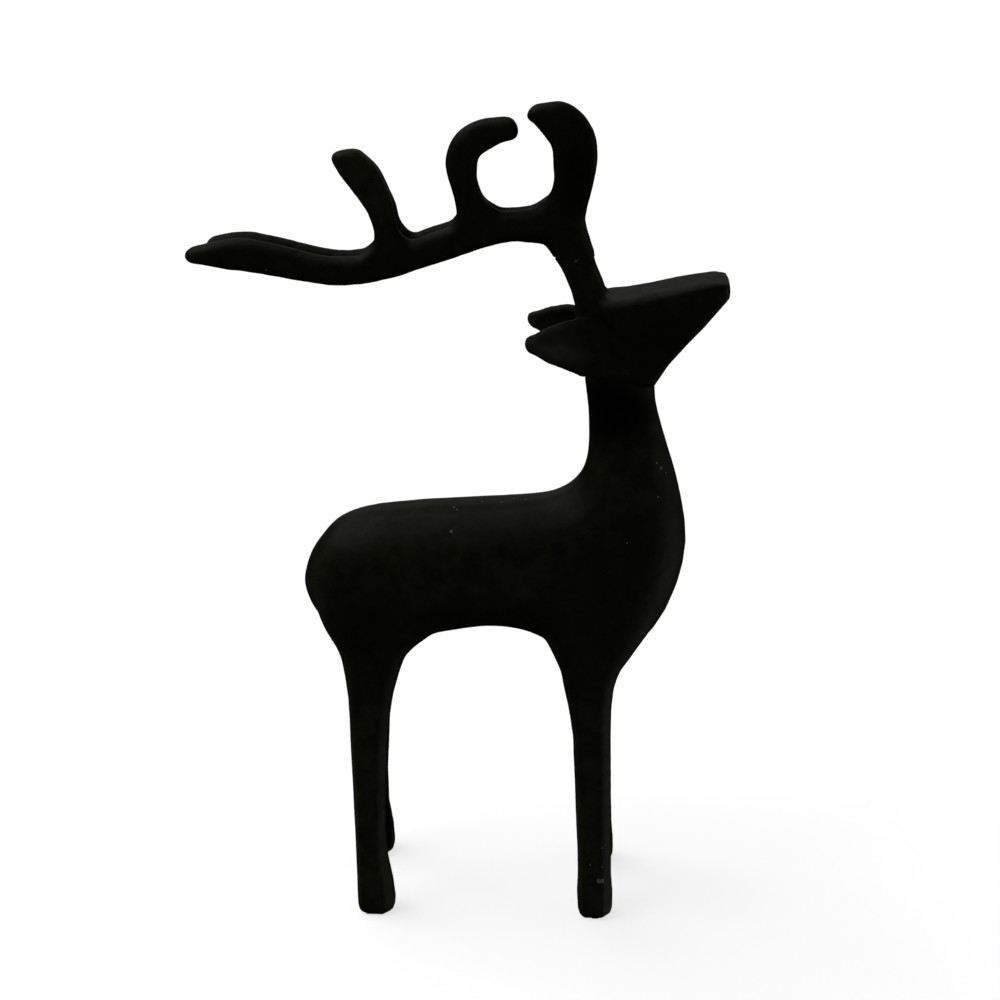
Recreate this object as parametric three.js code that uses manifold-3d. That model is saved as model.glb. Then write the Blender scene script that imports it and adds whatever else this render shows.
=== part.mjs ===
// Cast iron stag standing on four legs. Millimetres, +Z up, nose towards +X, its left side at +Y.
// The origin is on the ground, under the middle of the whole figure.
import * as THREE from 'three';
import Module from 'manifold-3d';

const wasm = await Module();
wasm.setup();

// Overall sizes
const FRONT_TRACK = 44;
const REAR_TRACK = 47;
const HIND_LEFT_SETBACK = 5;
const ANTLER_SPACING = 11;
const ANTLER_THICKNESS = 8.6;
const JOINT_GAP = 0.3;
const JOINT_STEP = 0.35;
const EAR_LEAN = 0.35;

// Each section is cut between two points of the side view, [x, z], and has a half width across it.
// A number before the half width is the section's distance from the middle plane.

// Trunk and neck, from the rump to the throat: back, belly or chest, half width
const TRUNK = [
  [[-61.7, 142.5], [-61.5, 134.5], 5],
  [[-59.8, 149.3], [-58.8, 128.6], 11],
  [[-55.3, 156.3], [-54, 122.6], 16.5],
  [[-49.3, 163.2], [-47, 117.5], 20.2],
  [[-39, 168.3], [-36, 116.2], 22.8],
  [[-25, 170.6], [-22, 116.8], 24],
  [[-8, 172], [-6, 119.1], 24.5],
  [[10, 173.2], [10, 122], 24.5],
  [[25, 174.6], [27, 120.3], 24.5],
  [[36, 176.6], [44, 112.5], 24.5],
  [[43.2, 180], [63, 109], 24],
  [[48, 185.3], [77.2, 120.6], 23],
  [[50, 191.5], [86.5, 140.5], 22],
  [[50.7, 198], [89.5, 158], 19.4],
  [[50.7, 206], [87.4, 174.5], 16.4],
  [[50.2, 213.5], [83.3, 190.5], 13.5],
  [[49.4, 220], [79, 204.5], 11.3],
  [[48.6, 228], [76, 216], 9.8],
  [[50, 240], [75, 232], 8.8],
];
const RUMP_REACH = 0.7;

// Head, from the nape to the nose: crown, jaw, half width
const HEAD = [
  [[44.5, 251.5], [48, 236], 8.4],
  [[50, 257], [52.5, 228.5], 9.8],
  [[54, 257.8], [57, 226.2], 10.8],
  [[58, 257.9], [62, 224.9], 13.6],
  [[65, 258.6], [74.9, 223.7], 14.3],
  [[73, 260.2], [80.3, 232.3], 13.2],
  [[82, 262.3], [87.1, 240.6], 12.7],
  [[90.5, 264], [93.2, 247.3], 11.9],
  [[97.2, 265], [98.3, 253.8], 11.4],
  [[100.8, 264.6], [101.9, 258.1], 10.6],
];
const NOSE_REACH = 1.5;
const JAW_TAPER = 0.8;

// Ear, from the root to the tip: upper edge, lower edge, distance out, half thickness
const EAR = [
  [[65, 246.5], [65, 228], 7.8, 4.2],
  [[56, 249.6], [56, 229], 10.2, 4.4],
  [[47.5, 250.7], [48, 230], 12.6, 4.3],
  [[41.3, 250.4], [41.6, 233.1], 14.6, 4],
  [[34.2, 248.4], [35, 235.8], 16.1, 3.4],
  [[28.9, 245.9], [29.6, 239.1], 17, 2.7],
];
const EAR_TIP_REACH = 3.2;

// Legs, from the sole up into the trunk: height, back, front, share of the track, half thickness
const HIND_LEG = [
  [5, -41.7, -26.5, 1, 7],
  [13, -41.8, -27.3, 0.99, 6.7],
  [24, -41.9, -29.3, 0.97, 6.2],
  [40, -42.2, -30.1, 0.94, 5.8],
  [72, -43.1, -29.2, 0.85, 5.8],
  [86, -43.6, -27.9, 0.8, 6],
  [96, -44, -26.4, 0.75, 6.5],
  [105, -45.1, -24.1, 0.7, 7.4],
  [112, -46.3, -21.7, 0.64, 8.5],
  [117, -48.4, -17.4, 0.6, 9.3],
  [121.5, -51.6, -10.5, 0.55, 9.9],
  [128, -55.3, -5, 0.5, 10.2],
  [140, -52, -6, 0.42, 9.8],
  [150, -46, -14, 0.34, 8.5],
];
const FORE_LEG = [
  [5, 49.5, 63.6, 1, 7],
  [10, 49.1, 63.5, 0.99, 6.8],
  [18, 49.3, 62.8, 0.98, 6.4],
  [30, 49, 62.4, 0.96, 6],
  [48, 48, 62, 0.93, 5.8],
  [80, 46.5, 61.3, 0.85, 6],
  [92, 44.8, 61.3, 0.81, 6.5],
  [101, 42.9, 62, 0.76, 7.2],
  [108, 41.6, 64.2, 0.71, 8.2],
  [116, 37.9, 69.9, 0.64, 9.4],
  [125, 32.4, 76, 0.56, 10.4],
  [136, 32, 77.5, 0.46, 10.2],
  [148, 38, 74, 0.36, 8.5],
];
// Rounded edge of each sole, from the ground up: height, share of the full section
const SOLE_EDGE = [[0, 0.79], [1.1, 0.92], [2.8, 0.985]];

// Stub on the head for each antler, from inside the head to the joint: back edge, front edge
const STUB = [
  [[46, 250], [59, 251.5]],
  [[43.6, 258.5], [56, 259.5]],
  [[41.9, 264.7], [53.6, 265.2]],
  [[39.3, 270.4], [52, 268.8]],
  [[36.6, 274.1], [51.3, 271.8]],
];
// Stem and front tine, from above the joint to the curled tip: inner edge, outer edge
const FRONT_TINE = [
  [[33.1, 279.2], [49.3, 279.5]],
  [[30, 286], [47.7, 286]],
  [[28.6, 292.4], [48.4, 292]],
  [[33.9, 296.2], [49.7, 297.6]],
  [[36.7, 303], [51, 303.6]],
  [[36, 312.6], [52, 314.2]],
  [[34.7, 316.5], [50.3, 321.7]],
  [[32.6, 319.2], [45.9, 327.8]],
  [[30.5, 321.9], [39, 331.6]],
  [[27.8, 324.7], [30.9, 330.6]],
];
// Middle tine, from the beam to the curled tip: outer edge, inner edge
const MIDDLE_TINE = [
  [[-6, 279], [21, 285]],
  [[-2.6, 285], [16.4, 291.2]],
  [[0, 288.7], [12, 293.8]],
  [[-0.5, 295.5], [9, 297.6]],
  [[-2.6, 302], [7.5, 302.3]],
  [[-3.8, 308], [7.3, 307.3]],
  [[-3.1, 313.6], [8.4, 311.5]],
  [[0, 319.4], [10.6, 313.2]],
  [[5.2, 323.4], [13.1, 314.8]],
  [[11.1, 325.2], [16, 316.6]],
  [[18.9, 325.6], [20.7, 318]],
];
// Back tine, from the beam to the blunt tip: back edge, front edge
const BACK_TINE = [
  [[-40, 271], [-11, 276]],
  [[-32.5, 276.2], [-17.6, 279.6]],
  [[-30.7, 281.5], [-22, 283.6]],
  [[-33.1, 290], [-23.5, 292.5]],
  [[-36.5, 295.4], [-25.7, 298.3]],
  [[-40.3, 300.3], [-28.2, 304]],
  [[-43.6, 304.8], [-31.2, 308.5]],
  [[-46, 309.7], [-35.4, 312.1]],
];
// Beam, from the stem to the swept back tip: lower edge, upper edge
const BEAM = [
  [[39, 278], [41, 292]],
  [[31, 279.7], [30.8, 292]],
  [[23.5, 280], [22.5, 290.8]],
  [[14, 278.4], [12.8, 290.2]],
  [[2.5, 274.6], [-0.2, 285.5]],
  [[-20, 266.7], [-22.5, 277.5]],
  [[-31, 263.6], [-32.8, 274]],
  [[-42, 262.1], [-42.5, 272.4]],
  [[-53, 262.6], [-52.5, 273.2]],
  [[-66, 264.6], [-64.5, 276.2]],
  [[-80, 266.9], [-79, 279]],
  [[-88, 267.9], [-87.2, 278.7]],
];
const TINE_TIP_REACH = 2.6;
// Each antler's side, the last section of its beam, how far its tip reaches beyond, and its tines' shift.
// The left tip is shorter and blunter, and the left tines sit lower and further back.
const RIGHT_ANTLER = { side: -1, tip: [[-98, 269.7], [-96.8, 276.2]], reach: 5.4, shift: [0, 0] };
const LEFT_ANTLER = { side: 1, tip: [[-94, 269.1], [-93.2, 277.4]], reach: 3.2, shift: [-0.4, -2.2] };
// Heights between which a shift of the tines comes in
const SHIFT_FROM = 284;
const SHIFT_FULL = 296;

// Points around each kind of section, and how square it is: 2 is an ellipse, more is closer to a rounded box
const TRUNK_SKIN = { sides: 22, power: 2.25 };
const HEAD_SKIN = { sides: 20, power: 8 };
const EAR_SKIN = { sides: 12, power: 2.3 };
const ANTLER_SKIN = { sides: 12, power: 2.25 };
// One side of a leg's section, from the back to the front: share along the section, share across it.
// The back edge is rounded and the front edge is bevelled.
const LEG_EDGE = [[1, 0.3], [0.9, 0.75], [0.62, 0.95], [0.1, 1], [-0.46, 0.98], [-0.97, 0.4], [-1, 0.15]];
// Turns, in degrees, at which a round end has a section
const END_TURNS = [25, 50, 72];
// Steps from one given section to the next where the row between them is smoothed
const SMOOTH_STEPS = 2;

const IRON = { color: 0x11120f, roughness: 0.62, metalness: 0.35 };

// A smooth row of sections through the given ones, a cubic through each number of them
function smooth(rows) {
  const flat = rows.map((row) => row.flat());
  const place = [0];
  for (let i = 1; i < flat.length; i++) {
    const step = Math.hypot(...flat[i].map((value, k) => value - flat[i - 1][k]));
    place.push(place[i - 1] + step);
  }
  const slope = (i, k) => {
    const before = Math.max(i - 1, 0);
    const after = Math.min(i + 1, flat.length - 1);
    return (flat[after][k] - flat[before][k]) / (place[after] - place[before]);
  };
  const result = [];
  for (let i = 0; i + 1 < flat.length; i++) {
    const span = place[i + 1] - place[i];
    for (let s = 0; s < SMOOTH_STEPS; s++) {
      const t = s / SMOOTH_STEPS;
      result.push(flat[i].map((from, k) => {
        const rise = flat[i + 1][k] - from;
        const start = slope(i, k) * span;
        const end = slope(i + 1, k) * span;
        return from + t * (start + t * (3 * rise - 2 * start - end + t * (start + end - 2 * rise)));
      }));
    }
  }
  result.push(flat.at(-1));
  return result;
}

// A ring of points: u runs along the section from its first point (1) to its second (-1), v across it
function superellipse({ sides, power }) {
  const shaped = (value) => Math.sign(value) * Math.abs(value) ** (2 / power);
  return Array.from({ length: sides }, (_, i) => {
    const angle = (2 * Math.PI * (i + 0.5)) / sides;
    return { u: shaped(Math.cos(angle)), v: shaped(Math.sin(angle)) };
  });
}

// The ring of a leg, the same on both sides
function legRing() {
  const near = LEG_EDGE.map(([u, v]) => ({ u, v }));
  const far = LEG_EDGE.map(([u, v]) => ({ u, v: -v }));
  return [...near, ...far.reverse()];
}

// One section: its middle, half of the line between its two points, half width and taper.
// The lean is how far the line goes sideways for each step down.
function section([ax, az, bx, bz, y, half], lean = 0, taper = 1) {
  const middle = new THREE.Vector3((ax + bx) / 2, y, (az + bz) / 2);
  const rise = (az - bz) / 2;
  const reach = new THREE.Vector3((ax - bx) / 2, -lean * rise, rise);
  return { middle, reach, half, taper };
}

function ringPoints({ middle, reach, half, taper }, ring) {
  const narrow = (1 - taper) / 2;
  return ring.map(({ u, v }) => {
    const point = middle.clone().addScaledVector(reach, u);
    point.y += v * half * (1 - narrow + narrow * u);
    return point;
  });
}

// Smaller and smaller sections beyond the last of a row, ending in a point: a round end
function roundEnd(last, previous, reach) {
  const outward = last.middle.clone().sub(previous.middle).setLength(reach);
  const end = END_TURNS.map((degrees) => {
    const angle = THREE.MathUtils.degToRad(degrees);
    return {
      middle: last.middle.clone().addScaledVector(outward, Math.sin(angle)),
      reach: last.reach.clone().multiplyScalar(Math.cos(angle)),
      half: last.half * Math.cos(angle),
      taper: last.taper,
    };
  });
  return { end, pole: last.middle.clone().add(outward) };
}

// A closed solid with its skin over a row of sections, each end flat or rounded
function loft(sections, ring, { startReach = 0, endReach = 0 } = {}) {
  const sides = ring.length;
  let row = sections;
  let startPole = sections[0].middle;
  let endPole = sections.at(-1).middle;
  if (startReach > 0) {
    const { end, pole } = roundEnd(sections[0], sections[1], startReach);
    row = [...end.reverse(), ...row];
    startPole = pole;
  }
  if (endReach > 0) {
    const { end, pole } = roundEnd(sections.at(-1), sections.at(-2), endReach);
    row = [...row, ...end];
    endPole = pole;
  }
  const points = row.flatMap((item) => ringPoints(item, ring));
  const startIndex = points.push(startPole) - 1;
  const endIndex = points.push(endPole) - 1;
  const lastRing = (row.length - 1) * sides;
  const triangles = [];
  for (let i = 0; i < sides; i++) {
    const next = (i + 1) % sides;
    triangles.push(startIndex, next, i);
    triangles.push(endIndex, lastRing + i, lastRing + next);
    for (let base = 0; base < lastRing; base += sides) {
      triangles.push(base + i, base + next, base + sides + i);
      triangles.push(base + next, base + sides + next, base + sides + i);
    }
  }
  return solid(points, triangles);
}

// Six times the volume inside a skin, below zero where its faces point inwards
function signedVolume(points, triangles) {
  let total = 0;
  for (let i = 0; i < triangles.length; i += 3) {
    const [a, b, c] = [0, 1, 2].map((k) => points[triangles[i + k]]);
    total += a.dot(b.clone().cross(c));
  }
  return total;
}

function solid(points, triangles) {
  const inward = signedVolume(points, triangles) < 0;
  const order = inward ? [...triangles].reverse() : triangles;
  return new wasm.Manifold(new wasm.Mesh({
    numProp: 3,
    vertProperties: new Float32Array(points.flatMap((point) => point.toArray())),
    triVerts: new Uint32Array(order),
  }));
}

// Trunk with neck, on the middle plane
function trunk() {
  const rows = TRUNK.map(([back, belly, half]) => [back, belly, 0, half]);
  const sections = smooth(rows).map((row) => section(row));
  return loft(sections, superellipse(TRUNK_SKIN), { startReach: RUMP_REACH });
}

// Wedge of the head, narrower at the jaw than at the crown
function head() {
  const rows = HEAD.map(([crown, jaw, half]) => [crown, jaw, 0, half]);
  const sections = rows.map((row) => section(row.flat(), 0, JAW_TAPER));
  return loft(sections, superellipse(HEAD_SKIN), { endReach: NOSE_REACH });
}

// Ear on one side, its lower edge further out than its upper edge
function ear(side) {
  const rows = EAR.map(([upper, lower, out, half]) => [upper, lower, side * out, half]);
  const sections = rows.map((row) => section(row.flat(), side * EAR_LEAN));
  return loft(sections, superellipse(EAR_SKIN), { endReach: EAR_TIP_REACH });
}

// Leg on one side, set back at the foot by a shift that fades out where it joins the trunk
function leg(table, side, track, setback = 0) {
  const top = table.at(-1)[0];
  const [, back, front, , half] = table[0];
  const middle = (back + front) / 2;
  const sole = SOLE_EDGE.map(([height, share]) => [
    height,
    middle + (back - middle) * share,
    middle + (front - middle) * share,
    1,
    half * share,
  ]);
  const sections = [...sole, ...table].map(([z, rear, fore, share, thick]) => {
    const shift = setback * (1 - z / top);
    return section([rear - shift, z, fore - shift, z, (side * share * track) / 2, thick]);
  });
  return loft(sections, legRing());
}

// One limb of an antler, of even thickness from side to side, rounded off at its tip
function antlerLimb(table, side, endReach) {
  const across = [(side * ANTLER_SPACING) / 2, ANTLER_THICKNESS / 2];
  const sections = smooth(table.map((points) => [...points, ...across])).map((row) => section(row));
  return loft(sections, superellipse(ANTLER_SKIN), { endReach });
}

// The stem's foot: the end of the stub, lifted square to the joint by the gap and a step wider than it
function stemFoot() {
  const [inner, outer] = STUB.at(-1).map((point) => new THREE.Vector2(...point));
  const along = outer.clone().sub(inner).normalize();
  const lift = new THREE.Vector2(-along.y, along.x).multiplyScalar(JOINT_GAP);
  inner.add(lift).addScaledVector(along, -JOINT_STEP);
  outer.add(lift).addScaledVector(along, JOINT_STEP);
  return [inner.toArray(), outer.toArray()];
}

// Short stub on the head that ends in the flat joint face
function stub(side) {
  return antlerLimb(STUB, side, 0);
}

function stagBody() {
  const limbs = [head()];
  for (const side of [-1, 1]) {
    limbs.push(ear(side));
    limbs.push(stub(side));
    limbs.push(leg(FORE_LEG, side, FRONT_TRACK));
    limbs.push(leg(HIND_LEG, side, REAR_TRACK, side > 0 ? HIND_LEFT_SETBACK : 0));
  }
  return limbs.reduce((whole, limb) => whole.add(limb), trunk());
}

// The sections of a limb, shifted more the higher they are
function shifted(table, [along, up]) {
  return table.map((row) => row.map(([x, z]) => {
    const share = THREE.MathUtils.smoothstep(z, SHIFT_FROM, SHIFT_FULL);
    return [x + share * along, z + share * up];
  }));
}

// One antler: three tines on a beam that is drawn out to its tip
function antler({ side, tip, reach, shift }) {
  const limb = (table, endReach) => antlerLimb(shifted(table, shift), side, endReach);
  return limb([stemFoot(), ...FRONT_TINE], TINE_TIP_REACH)
    .add(limb(MIDDLE_TINE, TINE_TIP_REACH))
    .add(limb(BACK_TINE, TINE_TIP_REACH))
    .add(limb([...BEAM, tip], reach));
}

// A named mesh of a finished solid
function casting(name, shape) {
  const { vertProperties, triVerts } = shape.getMesh();
  const geometry = new THREE.BufferGeometry();
  geometry.setAttribute('position', new THREE.BufferAttribute(vertProperties, 3));
  geometry.setIndex(new THREE.BufferAttribute(triVerts, 1));
  geometry.computeVertexNormals();
  const mesh = new THREE.Mesh(geometry, new THREE.MeshStandardMaterial(IRON));
  mesh.name = name;
  return mesh;
}

const stag = new THREE.Group();
stag.add(casting('stag_body', stagBody()));
stag.add(casting('antler_right', antler(RIGHT_ANTLER)));
stag.add(casting('antler_left', antler(LEFT_ANTLER)));

export default stag;
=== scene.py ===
import math
from functools import reduce

import bmesh
import bpy
import numpy as np
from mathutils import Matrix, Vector, noise
from mathutils.bvhtree import BVHTree
from mathutils.kdtree import KDTree


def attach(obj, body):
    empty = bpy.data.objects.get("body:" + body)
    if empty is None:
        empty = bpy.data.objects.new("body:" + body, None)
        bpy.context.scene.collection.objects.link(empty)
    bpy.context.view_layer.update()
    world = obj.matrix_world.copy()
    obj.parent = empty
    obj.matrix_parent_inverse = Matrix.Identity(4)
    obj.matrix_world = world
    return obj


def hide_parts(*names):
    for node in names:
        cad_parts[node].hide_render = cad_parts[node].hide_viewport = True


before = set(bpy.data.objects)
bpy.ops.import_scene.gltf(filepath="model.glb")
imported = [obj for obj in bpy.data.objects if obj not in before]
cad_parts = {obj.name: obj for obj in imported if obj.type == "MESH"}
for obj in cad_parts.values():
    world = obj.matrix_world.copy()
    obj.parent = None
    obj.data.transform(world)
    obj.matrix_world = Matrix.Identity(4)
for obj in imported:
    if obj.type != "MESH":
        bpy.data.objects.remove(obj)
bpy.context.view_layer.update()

# Lengths are in millimetres, counted along to the nose, to the stag's left and up, and angles in degrees
MM = 0.001

CAMERA_AT = (54.55, -737.04, 457.15)
CAMERA_AZIMUTH = 3
CAMERA_ELEVATION = 21
LENS = 72
SENSOR = 36
IMAGE = 1000

# Edge of the small cubes that each casting's skin is rebuilt from
BODY_CELL = 0.92
ANTLER_CELL = 0.5

# How far the skin is evened out: height, spread on the outline, spread on the sides
BODY_SPREAD = [
    (0, 0.5, 0.5),
    (8, 1.2, 1.3),
    (16, 1.6, 2.0),
    (88, 1.8, 2.4),
    (98, 2.4, 3.4),
    (112, 3.4, 6.0),
    (126, 3.4, 6.0),
    (140, 3.0, 6.0),
    (160, 2.6, 3.6),
    (205, 2.4, 3.0),
    (218, 1.6, 2.2),
    (226, 0.8, 0.9),
    (258, 0.6, 0.7),
    (266, 0.5, 0.5),
    (270, 0.25, 0.25),
]
ANTLER_SPREAD = 1.6
# How far a face is turned sideways where the spread starts to change to that of the sides, and where it has
SIDEWAYS = (0.3, 0.75)
# Rounds of evening out, the most that a round may move a point to its neighbours, and rounds of giving back
ROUNDS = 110
MOST_RATE = 0.9
GIVE_BACK = 2

# Where the skin is softer on both sides: middle, reach, spread
BODY_SOFT_SPOTS = [
    # Roots of the ears in the cheeks, their ends at the jaw, and the crown around the stubs
    ((58, 12, 239), 11, 3.0),
    ((65, 14, 231), 11, 3.4),
    ((57, 6, 258), 6, 1.8),
]
ANTLER_SOFT_SPOTS = [
    # Hollow corners between the tines and the beam
    ((13.5, 5.5, 292.5), 10, 3.2),
    ((30, 5.5, 293), 10, 3.2),
    ((-20, 5.5, 281), 9, 3.2),
    ((-1.5, 5.5, 288), 7, 2.6),
    ((-32, 5.5, 278), 8, 2.6),
    ((9, 5.5, 311), 7, 2.6),
]

# Evening out takes a little off every rounded edge, and this much puts it back: height, lift
BODY_LIFT = [(0, 0.16), (88, 0.2), (105, 0.35), (130, 0.5), (150, 0.3), (165, 0.2)]
ANTLER_LIFT = 0.32
# Where the skin stands out further: middle, reach, lift
BODY_SWELLS = [
    # The left ear, and the backs of the two stubs
    ((33, 17, 241), 19, 0.5),
    ((37.5, -5.5, 267), 10, 0.5),
    ((37.5, 5.5, 267), 10, 0.5),
]
ANTLER_SWELLS = [
    # The back of the stem, and the inside of the ring, on the left antler and mirrored on the right one
    ((31.5, 5.5, 284), 12, 0.5),
    ((33, 5.5, 304), 9, 0.4),
    ((22, 5.5, 293), 9, 0.3),
]
# Share of a spot's reach that has its full effect
SPOT_CORE = 0.4

# The flat band along the back: its ends, how far it fades there, half width, depth and width of the trough
# beside it, the height that it lies above, and how far up a face looks where the trough begins and is full
BAND = {
    "ends": (-50, 46),
    "fade": 14,
    "half": 4.6,
    "deep": 0.5,
    "wide": 3.0,
    "above": 155,
    "facing": (0.1, 0.5),
}

# Outer face of an ear: distance along, upper edge, lower edge, distance out
EAR = [
    (28.9, 245.9, 239.1, 17),
    (34.2, 248.4, 235.8, 16.1),
    (41.3, 250.4, 233.1, 14.6),
    (47.5, 250.7, 230, 12.6),
    (56, 249.6, 229, 10.2),
]
# The hollow in it: its ends, how far it fades at each, depth, its middle, half width and reach as shares
# of the ear's half height, how far out a face looks where it begins and is full, and how far inside it may lie
EAR_HOLLOW = {
    "ends": (28, 57),
    "fade": (9, 13),
    "deep": 2.6,
    "middle": 0.1,
    "half": 0.5,
    "reach": 1.3,
    "facing": (0.3, 0.7),
    "slack": 1,
}

# The joint of an antler and its stub: back and front point, distance out, half thickness, squareness
JOINT = {"back": (36.2, 274.15), "front": (51.3, 271.8), "out": 5.5, "half": 4.3, "power": 2.25}
# Gap of the solids there, how far each rim closes it, and how far the antler's rim stands past the stub's
JOINT_GAP = 0.3
JOINT_CLOSE = 0.09
JOINT_STEP = 0.35
RIM_POINTS = 400
# From how far points are drawn onto a rim, how close together they are joined, and the share of that
# distance under which an edge is a sliver
BODY_RIM = {"reach": 0.75 * BODY_CELL, "weld": 0.5 * BODY_CELL}
ANTLER_RIM = {"reach": 1.3 * ANTLER_CELL, "weld": 0.6 * ANTLER_CELL}
SLIVER = 0.2

# Everything this close to the ground is part of a flat sole
SOLE = 0.35

# Relief of the castings: wavelength, height
BODY_RELIEF = [(34, 0.26), (15, 0.12), (4.2, 0.035), (2.3, 0.022)]
ANTLER_RELIEF = [(19, 0.16), (8, 0.17), (3.6, 0.1), (1.8, 0.045)]
# Steps between the places in the noise that the castings and the layers of their relief take
SEED_STEP = 17.3
LAYER_STEPS = (31.7, 5.9)
BODY_SEED = 1
RIGHT_SEED = 2
LEFT_SEED = 3

# Small pale chips in the coat: photo pixel across, down, size
CHIPS = [
    (657, 463, 0.88),
    (661, 468, 1.12),
    (666, 473, 0.72),
    (658, 497, 0.8),
    (451, 531.5, 1.12),
    (454, 507, 0.72),
    (457, 509.5, 0.64),
    (482, 501.6, 0.64),
    (502, 502, 0.72),
    (514, 498.4, 0.64),
    (526, 499.4, 0.56),
    (627, 543, 0.64),
    (599, 881, 2.0),
    (602, 881, 2.0),
    (602, 848, 0.72),
    (602, 867, 0.8),
    (590, 865, 0.72),
    (576, 261, 0.7),
    (578, 260.5, 0.5),
    (594, 261, 0.6),
    (266, 270, 0.72),
]
# A chip's edge as a share of its size: how much the grain moves it, and the least
CHIP_RAGGED = 0.5
CHIP_LEAST = 0.25

# Painted light and shade on the coat, on both sides: middle, reach each way, share of it that fades, and the
# factor on the coat's colour, above 1 where light is painted and below 1 where shade is painted
PAINTED_LIGHT_AND_SHADE = [
    # Painted shadow of the head on the neck under the jaw
    ((55, 0, 214), (26, 40, 15), 0.5, 0.05),
    ((82, 14, 241), (27, 8, 19), 0.6, 0.65),
    ((45, 8, 304), (9, 16, 20), 0.6, 0.3),
    ((-36, 8, 296), (18, 16, 24), 0.6, 1.9),
    ((47, 8, 265), (12, 12, 13), 0.6, 1.4),
    ((53, 0, 266), (6, 6, 9), 0.5, 3.0),
    ((66, 14, 190), (24, 16, 18), 0.6, 1.5),
    ((0, 24, 148), (55, 12, 22), 0.6, 1.4),
    ((-38, 22, 125), (20, 12, 16), 0.6, 0.75),
    # Painted shade on the inner sides of the legs, where the trunk and the near legs shade them, and painted
    # light on their outer sides
    ((-36, 6, 40), (24, 17.5, 85), 0.2, 0.02),
    ((56, 6, 40), (24, 16.5, 85), 0.2, 0.02),
    ((-36, 30, 45), (24, 12, 75), 0.4, 1.7),
    ((56, 29, 45), (24, 12, 75), 0.4, 1.7),
]
# Painted light on the ears and the crown, where they catch the light, on both sides: middle, reach each way,
# share of it that fades
PAINTED_LIGHT_SPOTS = [
    ((35, 17, 241), (20, 12, 13), 0.8),
    ((60, 8, 260), (10, 10, 5), 0.8),
]

COAT_DARK = (0.0080, 0.0090, 0.0030, 1)
COAT_LIGHT = (0.0116, 0.0130, 0.0046, 1)
COAT_DUST = (0.0150, 0.0155, 0.0085, 1)
# Colour of the painted light on the ears and the crown
PAINTED_LIGHT_COLOUR = (0.038, 0.038, 0.033, 1)
CHIP_COLOUR = (0.24, 0.235, 0.2, 1)
SPECULAR = 0.12
# The darkest painted shade is also the dullest: roughness where the painted light and shade factor is 0, and
# how it falls as that factor grows
DULLEST = 1.0
DULL_FALL = -0.5
# Patterns in the coat: wavelength, detail, roughness of the pattern
CLOUD = (26, 4, 0.6)
MOTTLE = (7, 5, 0.65)
FINE = (3.2, 4, 0.6)
SAND = (1.6, 3, 0.6)
GRAIN = (0.7, 3, 0.6)
# What the patterns do: pattern from, to, and the share, factor or roughness that they give
CLOUD_SHARE = (0.32, 0.68, 0, 1)
DUST_SHARE = (0.45, 0.75, 0, 0.5)
MOTTLE_FACTOR = (0.34, 0.66, 0.65, 1.4)
# The fine pattern breaks up the painted light on the ears and the crown
PAINTED_LIGHT_SHARE = (0.3, 0.7, 0.6, 1.0)
FINE_ROUGHNESS = (0.3, 0.7, 0.46, 0.58)
# Bumps: strength, height
SAND_BUMP = (0.55, 0.14)
GRAIN_BUMP = (0.4, 0.06)

# Half the floor's width in metres, and the wavelength and detail of the pattern in its colour
FLOOR_HALF = 8.0
FLOOR_PATTERN = (400, 2)
FLOOR_COLOURS = ((0.86, 0.86, 0.86, 1), (0.88, 0.88, 0.875, 1))
FLOOR_ROUGHNESS = 0.9
FLOOR_SPECULAR = 0.1
FLOOR_GLOW = 0.72
WHITE = (1, 1, 1, 1)

# Soft studio light, named as the camera sees it: where it comes from, in degrees from the nose round to the
# stag's left and in degrees up, and how strong it is
LIGHTS = [
    ("overhead", 0, 90, 0.07),
    ("back_left", 135, 50, 0.10),
    ("left", 180, 50, 0.20),
    ("left_front", 225, 50, 0.03),
    ("back", 90, 15, 0.05),
    ("back_right", 45, 15, 0.02),
    ("right", 0, 20, 0.03),
    ("right_low", 0, -25, 0.1),
    ("left_low", 180, -25, 0.034),
    ("front_low", 270, -25, 0.036),
]
SOFTNESS = 50
# The world around, as it lights the castings and as the camera sees it behind them
WORLD_LIGHT = 0.004
WORLD_SEEN = 1.0


def camera_axes():
    """The directions right, up and back from the camera."""
    azimuth = math.radians(CAMERA_AZIMUTH)
    elevation = math.radians(CAMERA_ELEVATION)
    back = Vector((
        math.sin(azimuth) * math.cos(elevation),
        -math.cos(azimuth) * math.cos(elevation),
        math.sin(elevation),
    ))
    right = Vector((math.cos(azimuth), math.sin(azimuth), 0))
    return right, back.cross(right), back


def pixel_ray(across, down):
    """Start and direction of the line of sight through a pixel of the photo."""
    right, up, back = camera_axes()
    scale = SENSOR / LENS / IMAGE
    x = (across - IMAGE / 2) * scale
    y = (IMAGE / 2 - down) * scale
    return Vector(CAMERA_AT) * MM, (right * x + up * y - back).normalized()


def rebuilt(node, name, cell):
    """A new piece with the node's shape, its skin rebuilt from small even faces."""
    piece = bpy.data.objects.new(name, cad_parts[node].data.copy())
    bpy.context.scene.collection.objects.link(piece)
    remesh = piece.modifiers.new("skin", "REMESH")
    remesh.mode = "VOXEL"
    remesh.voxel_size = cell * MM
    remesh.use_smooth_shade = True
    depsgraph = bpy.context.evaluated_depsgraph_get()
    mesh = bpy.data.meshes.new_from_object(piece.evaluated_get(depsgraph))
    piece.modifiers.clear()
    piece.data = mesh
    mesh.name = name
    mesh.materials.clear()
    return piece


def points_of(mesh):
    """The mesh's points in millimetres."""
    flat = np.empty(len(mesh.vertices) * 3)
    mesh.vertices.foreach_get("co", flat)
    return flat.reshape(-1, 3) / MM


def normals_of(mesh):
    flat = np.empty(len(mesh.vertices) * 3)
    mesh.vertices.foreach_get("normal", flat)
    return flat.reshape(-1, 3)


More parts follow.
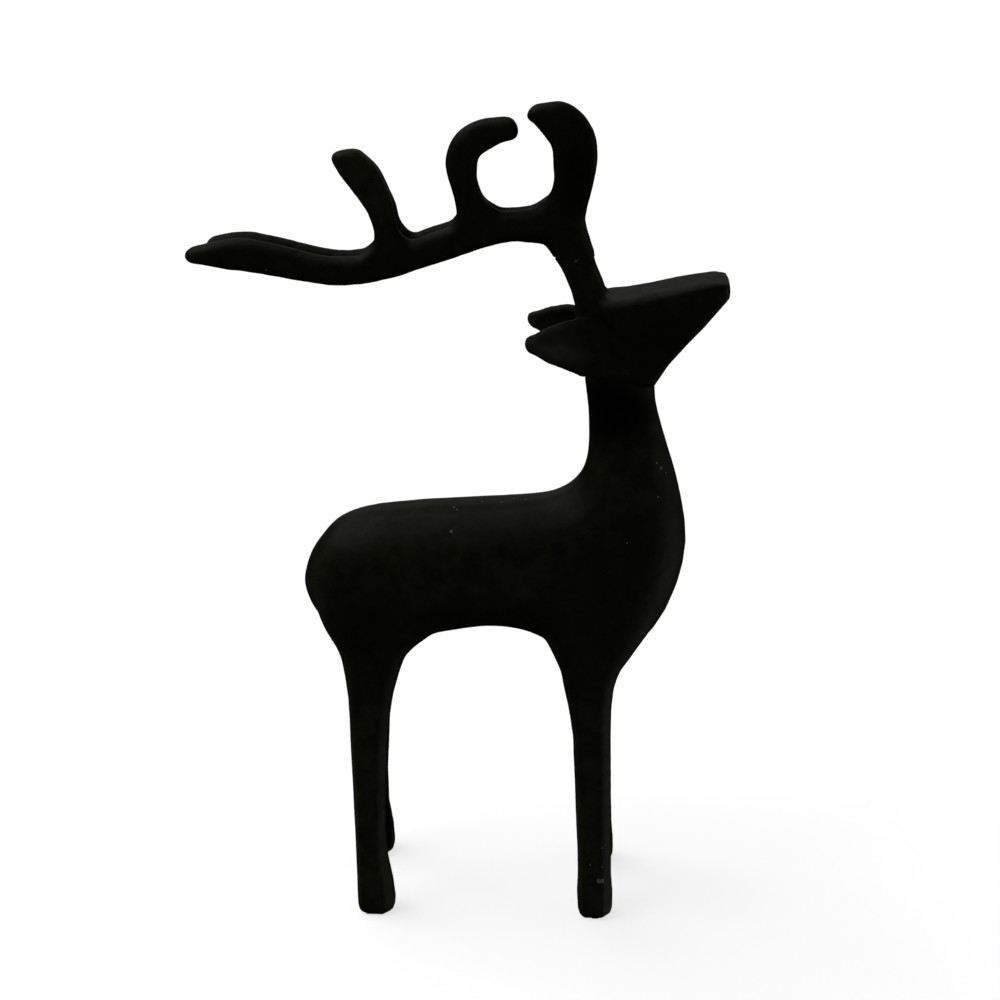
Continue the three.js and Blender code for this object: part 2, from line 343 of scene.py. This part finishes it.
def put_points(mesh, points):
    mesh.vertices.foreach_set("co", (points * MM).astype(np.float32).ravel())
    mesh.update()


def edges_of(mesh):
    flat = np.empty(len(mesh.edges) * 2, np.int64)
    mesh.edges.foreach_get("vertices", flat)
    return flat.reshape(-1, 2)


def smoothstep(value, low, high):
    share = np.clip((value - low) / (high - low), 0, 1)
    return share * share * (3 - 2 * share)


def nearness(points, spot, reach):
    """1 at a spot and around it, falling to 0 at the end of its reach."""
    away = np.linalg.norm(points - spot, axis=1)
    return 1 - smoothstep(away, SPOT_CORE * reach, reach)


def soften(spread, points, spots):
    """Adds soft spots, the same on both sides, to the spread for each point."""
    folded = np.column_stack([points[:, 0], np.abs(points[:, 1]), points[:, 2]])
    for spot, reach, soft in spots:
        spread = spread + np.maximum(soft - spread, 0) * nearness(folded, spot, reach)
    return spread


def swollen(lift, points, spots):
    """Adds the places that stand out further to the lift for each point."""
    for spot, reach, extra in spots:
        lift = lift + extra * nearness(points, spot, reach)
    return lift


def relaxed(values, edges, rate):
    """Values drawn towards their neighbours' mean, round after round."""
    count = len(values)
    ends = np.concatenate([edges[:, 0], edges[:, 1]])
    others = np.concatenate([edges[:, 1], edges[:, 0]])
    degree = np.bincount(ends, minlength=count)[:, None]
    for _ in range(ROUNDS):
        total = np.stack([
            np.bincount(ends, values[others, axis], count) for axis in range(values.shape[1])
        ], axis=1)
        values = values + rate[:, None] * (total / degree - values)
    return values


def even_out(mesh, spread, cell, lift):
    """Evens out the skin by a spread for each point, gives back what thin parts lost, and lifts it."""
    points = points_of(mesh)
    edges = edges_of(mesh)
    rate = np.minimum(2 * (spread / cell) ** 2 / ROUNDS, MOST_RATE)
    evened = relaxed(points, edges, rate)
    for _ in range(GIVE_BACK):
        evened = evened + relaxed(points - evened, edges, rate)
    put_points(mesh, evened)
    put_points(mesh, evened + lift[:, None] * normals_of(mesh))


def roughen(mesh, relief, seed):
    """Moves the skin in and out by the casting's relief."""
    points = points_of(mesh)
    height = np.zeros(len(points))
    for layer, (wavelength, depth) in enumerate(relief):
        offset = Vector((seed * SEED_STEP, layer * LAYER_STEPS[0], seed + layer * LAYER_STEPS[1]))
        pattern = [noise.noise(Vector(point) / wavelength + offset) for point in points]
        height += depth * np.array(pattern)
    put_points(mesh, points + normals_of(mesh) * height[:, None])


def raise_band(mesh):
    """Sinks a shallow trough on each side of the ridge of the back, so that a flat band stands out."""
    points = points_of(mesh)
    x, y, z = points.T
    low, high = BAND["ends"]
    share = smoothstep(x, low, low + BAND["fade"]) * (1 - smoothstep(x, high - BAND["fade"], high))
    share *= smoothstep(normals_of(mesh)[:, 2], *BAND["facing"]) * (z > BAND["above"])
    off = np.maximum(np.abs(y) - BAND["half"], 0) / BAND["wide"]
    points[:, 2] -= BAND["deep"] * share * off * np.exp(1 - off)
    put_points(mesh, points)


def hollow_ears(mesh):
    """Sinks a hollow into the outer face of each ear."""
    points = points_of(mesh)
    x, y, z = points.T
    along, upper, lower, out = (np.array(column) for column in zip(*EAR))
    top = np.interp(x, along, upper)
    bottom = np.interp(x, along, lower)
    across = (2 * z - top - bottom) / (top - bottom)
    side = np.sign(y)
    low, high = EAR_HOLLOW["ends"]
    low_fade, high_fade = EAR_HOLLOW["fade"]
    share = smoothstep(x, low, low + low_fade) * (1 - smoothstep(x, high - high_fade, high))
    share *= np.exp(-((across - EAR_HOLLOW["middle"]) / EAR_HOLLOW["half"]) ** 2)
    share *= np.abs(across) < EAR_HOLLOW["reach"]
    share *= smoothstep(normals_of(mesh)[:, 1] * side, *EAR_HOLLOW["facing"])
    share *= np.abs(y) > np.interp(x, along, out) - EAR_HOLLOW["slack"]
    points[:, 1] -= side * share * EAR_HOLLOW["deep"]
    put_points(mesh, points)


def joint_rim(side, lift, step):
    """Points around the end of a stub, lifted square to the joint and a step longer than it."""
    back = Vector(JOINT["back"])
    front = Vector(JOINT["front"])
    along = (front - back).normalized()
    square = Vector((-along.y, along.x))
    middle = (back + front) / 2 + square * lift
    reach = (front - back).length / 2 + step
    power = 2 / JOINT["power"]
    rim = []
    for angle in np.linspace(0, 2 * math.pi, RIM_POINTS, endpoint=False):
        u = math.copysign(abs(math.cos(angle)) ** power, math.cos(angle))
        v = math.copysign(abs(math.sin(angle)) ** power, math.sin(angle))
        spot = middle + along * (reach * u)
        rim.append(Vector((spot.x, side * JOINT["out"] + v * JOINT["half"], spot.y)))
    return rim


def crisp(mesh, rim, reach, weld):
    """Draws the points close to a sharp rim onto it, and joins those that then lie together."""
    tree = KDTree(len(rim))
    for index, spot in enumerate(rim):
        tree.insert(spot, index)
    tree.balance()
    points = points_of(mesh)
    box = np.array(rim)
    near = np.all((points > box.min(0) - reach) & (points < box.max(0) + reach), axis=1)
    moved = []
    for index in np.flatnonzero(near):
        spot, _, gap = tree.find(points[index])
        if gap < reach:
            points[index] = spot
            moved.append(index)
    put_points(mesh, points)

    skin = bmesh.new()
    skin.from_mesh(mesh)
    skin.verts.ensure_lookup_table()
    on_rim = [skin.verts[index] for index in moved]
    bmesh.ops.remove_doubles(skin, verts=on_rim, dist=weld * MM)
    on_rim = [vertex for vertex in on_rim if vertex.is_valid]
    faces = dict.fromkeys(face for vertex in on_rim for face in vertex.link_faces)
    bmesh.ops.triangulate(skin, faces=list(faces))
    edges = dict.fromkeys(edge for vertex in on_rim for edge in vertex.link_edges)
    bmesh.ops.dissolve_degenerate(skin, dist=weld * SLIVER * MM, edges=list(edges))
    skin.to_mesh(mesh)
    skin.free()
    mesh.update()


def plant(mesh):
    """Lets the soles stand flat on the ground."""
    points = points_of(mesh)
    points[:, 2] -= points[:, 2].min()
    points[points[:, 2] < SOLE, 2] = 0
    put_points(mesh, points)


def make_body():
    body = rebuilt("stag_body", "stag_casting", BODY_CELL)
    mesh = body.data
    points = points_of(mesh)
    heights, on_outline, on_sides = zip(*BODY_SPREAD)
    sideways = smoothstep(np.abs(normals_of(mesh)[:, 1]), *SIDEWAYS)
    spread = np.interp(points[:, 2], heights, on_outline)
    spread += sideways * (np.interp(points[:, 2], heights, on_sides) - spread)
    spread = soften(spread, points, BODY_SOFT_SPOTS)
    lift = np.interp(points[:, 2], *zip(*BODY_LIFT))
    even_out(mesh, spread, BODY_CELL, swollen(lift, points, BODY_SWELLS))
    roughen(mesh, BODY_RELIEF, BODY_SEED)
    raise_band(mesh)
    hollow_ears(mesh)
    for side in (-1, 1):
        crisp(mesh, joint_rim(side, JOINT_CLOSE, 0), **BODY_RIM)
    plant(mesh)
    return body


def make_antler(node, name, side, seed):
    antler = rebuilt(node, name, ANTLER_CELL)
    mesh = antler.data
    points = points_of(mesh)
    spread = soften(np.full(len(points), ANTLER_SPREAD), points, ANTLER_SOFT_SPOTS)
    lift = np.full(len(points), ANTLER_LIFT)
    swells = [((along, side * out, up), reach, extra) for (along, out, up), reach, extra in ANTLER_SWELLS]
    even_out(mesh, spread, ANTLER_CELL, swollen(lift, points, swells))
    roughen(mesh, ANTLER_RELIEF, seed)
    crisp(mesh, joint_rim(side, JOINT_GAP - JOINT_CLOSE, JOINT_STEP), **ANTLER_RIM)
    return antler


def chip_points(pieces):
    """Where the lines of sight through the chips' pixels first meet the castings, with the chips' sizes."""
    trees = []
    for piece in pieces:
        mesh = piece.data
        trees.append(BVHTree.FromPolygons(
            [vertex.co for vertex in mesh.vertices],
            [face.vertices for face in mesh.polygons],
        ))
    found = []
    for across, down, size in CHIPS:
        start, direction = pixel_ray(across, down)
        casts = [tree.ray_cast(start, direction) for tree in trees]
        hits = [(distance, spot) for spot, _, _, distance in casts if spot is not None]
        if hits:
            nearest = min(hits, key=lambda hit: hit[0])
            found.append((nearest[1] / MM, size))
    return found


class Shader:
    """Adds nodes to a material, each linked to what it takes in."""

    def __init__(self, name):
        self.material = bpy.data.materials.new(name)
        self.material.use_nodes = True
        self.tree = self.material.node_tree
        self.surface = self.tree.nodes["Principled BSDF"].inputs

    def put(self, socket, value):
        if isinstance(value, bpy.types.NodeSocket):
            self.tree.links.new(value, socket)
        else:
            socket.default_value = value

    def node(self, kind, inputs=None, **settings):
        node = self.tree.nodes.new(kind)
        for name, value in settings.items():
            setattr(node, name, value)
        for name, value in (inputs or {}).items():
            self.put(node.inputs[name], value)
        return node

    def math(self, operation, *values):
        node = self.node("ShaderNodeMath", operation=operation)
        for socket, value in zip(node.inputs, values):
            self.put(socket, value)
        return node.outputs[0]

    def together(self, operation, values):
        """All the values taken together, two at a time."""
        return reduce(lambda one, other: self.math(operation, one, other), values)

    def vector(self, operation, *values):
        node = self.node("ShaderNodeVectorMath", operation=operation)
        for socket, value in zip(node.inputs, values):
            self.put(socket, value)
        return node.outputs

    def noise(self, at, wavelength, detail, rough=0.5):
        node = self.node("ShaderNodeTexNoise", {
            "Vector": at,
            "Scale": 1 / (wavelength * MM),
            "Detail": detail,
            "Roughness": rough,
        })
        return node.outputs["Fac"]

    def ramp(self, value, low, high, to_low, to_high):
        node = self.node("ShaderNodeMapRange", {
            "Value": value,
            "From Min": low,
            "From Max": high,
            "To Min": to_low,
            "To Max": to_high,
        }, interpolation_type="SMOOTHSTEP")
        return node.outputs["Result"]

    def mix(self, share, first, second):
        node = self.node("ShaderNodeMix", {0: share, 6: first, 7: second}, data_type="RGBA")
        return node.outputs[2]

    def away(self, at, middle, reach):
        """Distance from a middle, 1 where it is as far as the reach each way."""
        off = self.vector("SUBTRACT", at, tuple(value * MM for value in middle))["Vector"]
        scaled = self.vector("MULTIPLY", off, tuple(1 / (value * MM) for value in reach))["Vector"]
        return self.vector("LENGTH", scaled)["Value"]

    def spot(self, at, middle, reach, fade, inside, outside):
        """One value in a rounded spot and another around it, fading near its edge."""
        return self.ramp(self.away(at, middle, reach), 1 - fade, 1, inside, outside)

    def bump(self, height, strength, distance):
        return self.node("ShaderNodeBump", {
            "Height": height,
            "Strength": strength,
            "Distance": distance * MM,
        })


def black_iron(chips):
    """The castings' matte black coat."""
    shader = Shader("black_iron")
    surface = shader.surface
    at = shader.node("ShaderNodeTexCoord").outputs["Object"]
    x, y, z = shader.node("ShaderNodeSeparateXYZ", {"Vector": at}).outputs
    aside = shader.math("ABSOLUTE", y)
    folded = shader.node("ShaderNodeCombineXYZ", {"X": x, "Y": aside, "Z": z}).outputs["Vector"]
    fine = shader.noise(at, *FINE)
    grain = shader.noise(at, *GRAIN)

    clouds = shader.ramp(shader.noise(at, *CLOUD), *CLOUD_SHARE)
    coat = shader.mix(clouds, COAT_DARK, COAT_LIGHT)
    coat = shader.mix(shader.ramp(fine, *DUST_SHARE), coat, COAT_DUST)

    # Painted light and shade: the coat is darkened where shade falls, as under the jaw and on the inner sides
    # of the legs, and lightened where light falls, then mottled
    light_and_shade_factor = shader.together("MULTIPLY", [
        shader.spot(folded, middle, reach, fade, inside, 1) for middle, reach, fade, inside in PAINTED_LIGHT_AND_SHADE
    ])
    mottle = shader.ramp(shader.noise(at, *MOTTLE), *MOTTLE_FACTOR)
    light_shade_and_mottle = shader.math("MULTIPLY", light_and_shade_factor, mottle)
    scaled = shader.node("ShaderNodeVectorMath", {0: coat, "Scale": light_shade_and_mottle}, operation="SCALE")
    coat = scaled.outputs["Vector"]

    # Painted light on the ears and the crown, broken up by the fine pattern
    painted_light_mask = shader.together("MAXIMUM", [
        shader.spot(folded, middle, reach, fade, 1, 0) for middle, reach, fade in PAINTED_LIGHT_SPOTS
    ])
    painted_light_mask = shader.math("MULTIPLY", painted_light_mask, shader.ramp(fine, *PAINTED_LIGHT_SHARE))
    coat = shader.mix(painted_light_mask, coat, PAINTED_LIGHT_COLOUR)

    edge = shader.math("MULTIPLY_ADD", grain, CHIP_RAGGED, CHIP_LEAST)
    chipped = shader.together("MAXIMUM", [
        shader.math("LESS_THAN", shader.away(at, point, (size, size, size)), edge) for point, size in chips
    ])
    shader.put(surface["Base Color"], shader.mix(chipped, coat, CHIP_COLOUR))

    # The coat is dullest where the painted shade is darkest
    dull = shader.math("MULTIPLY_ADD", light_and_shade_factor, DULL_FALL, DULLEST)
    rough = shader.ramp(fine, *FINE_ROUGHNESS)
    shader.put(surface["Roughness"], shader.math("MAXIMUM", rough, dull))
    surface["Metallic"].default_value = 0.0
    surface["Specular IOR Level"].default_value = SPECULAR

    sandy = shader.bump(shader.noise(at, *SAND), *SAND_BUMP)
    grainy = shader.bump(grain, *GRAIN_BUMP)
    shader.put(grainy.inputs["Normal"], sandy.outputs["Normal"])
    shader.put(surface["Normal"], grainy.outputs["Normal"])
    return shader.material


def pale_floor():
    shader = Shader("pale_floor")
    surface = shader.surface
    at = shader.node("ShaderNodeTexCoord").outputs["Object"]
    patches = shader.noise(at, *FLOOR_PATTERN)
    shader.put(surface["Base Color"], shader.mix(patches, *FLOOR_COLOURS))
    surface["Roughness"].default_value = FLOOR_ROUGHNESS
    surface["Specular IOR Level"].default_value = FLOOR_SPECULAR
    surface["Emission Color"].default_value = WHITE
    surface["Emission Strength"].default_value = FLOOR_GLOW
    return shader.material


def make_floor():
    """A floor that takes shadows, but sends no light to the castings and lets the low lights through."""
    half = FLOOR_HALF
    mesh = bpy.data.meshes.new("floor")
    corners = [(-half, -half, 0), (half, -half, 0), (half, half, 0), (-half, half, 0)]
    mesh.from_pydata(corners, [], [(0, 1, 2, 3)])
    floor = bpy.data.objects.new("floor", mesh)
    bpy.context.scene.collection.objects.link(floor)
    mesh.materials.append(pale_floor())
    floor.visible_diffuse = False
    floor.visible_glossy = False
    floor.visible_shadow = False


def make_world():
    """A white world that the camera sees, and that hardly lights the castings."""
    world = bpy.data.worlds.new("studio")
    bpy.context.scene.world = world
    world.use_nodes = True
    nodes = world.node_tree.nodes
    links = world.node_tree.links
    seen = nodes.new("ShaderNodeLightPath").outputs["Is Camera Ray"]
    strength = nodes.new("ShaderNodeMapRange")
    strength.inputs["To Min"].default_value = WORLD_LIGHT
    strength.inputs["To Max"].default_value = WORLD_SEEN
    backdrop = nodes["Background"].inputs
    backdrop["Color"].default_value = WHITE
    links.new(seen, strength.inputs["Value"])
    links.new(strength.outputs["Result"], backdrop["Strength"])


def make_lights():
    for name, azimuth, elevation, strength in LIGHTS:
        azimuth = math.radians(azimuth)
        elevation = math.radians(elevation)
        lamp = bpy.data.lights.new(name, "SUN")
        lamp.energy = math.pi * strength
        lamp.angle = math.radians(SOFTNESS)
        light = bpy.data.objects.new(name, lamp)
        flat = math.cos(elevation)
        towards = Vector((flat * math.cos(azimuth), flat * math.sin(azimuth), math.sin(elevation)))
        light.rotation_euler = towards.to_track_quat("Z", "Y").to_euler()
        bpy.context.scene.collection.objects.link(light)


def make_camera():
    data = bpy.data.cameras.new("camera")
    data.lens = LENS
    data.sensor_width = SENSOR
    camera = bpy.data.objects.new("camera", data)
    camera.location = Vector(CAMERA_AT) * MM
    camera.rotation_euler = (math.radians(90 - CAMERA_ELEVATION), 0, math.radians(CAMERA_AZIMUTH))
    bpy.context.scene.collection.objects.link(camera)
    bpy.context.scene.camera = camera


castings = {
    "stag_body": make_body(),
    "antler_right": make_antler("antler_right", "right_antler_casting", -1, RIGHT_SEED),
    "antler_left": make_antler("antler_left", "left_antler_casting", 1, LEFT_SEED),
}
iron = black_iron(chip_points(castings.values()))
for node, piece in castings.items():
    piece.data.materials.append(iron)
    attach(piece, "root")
    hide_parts(node)

make_floor()
make_world()
make_lights()
make_camera()
bpy.context.scene.view_settings.view_transform = "Standard"
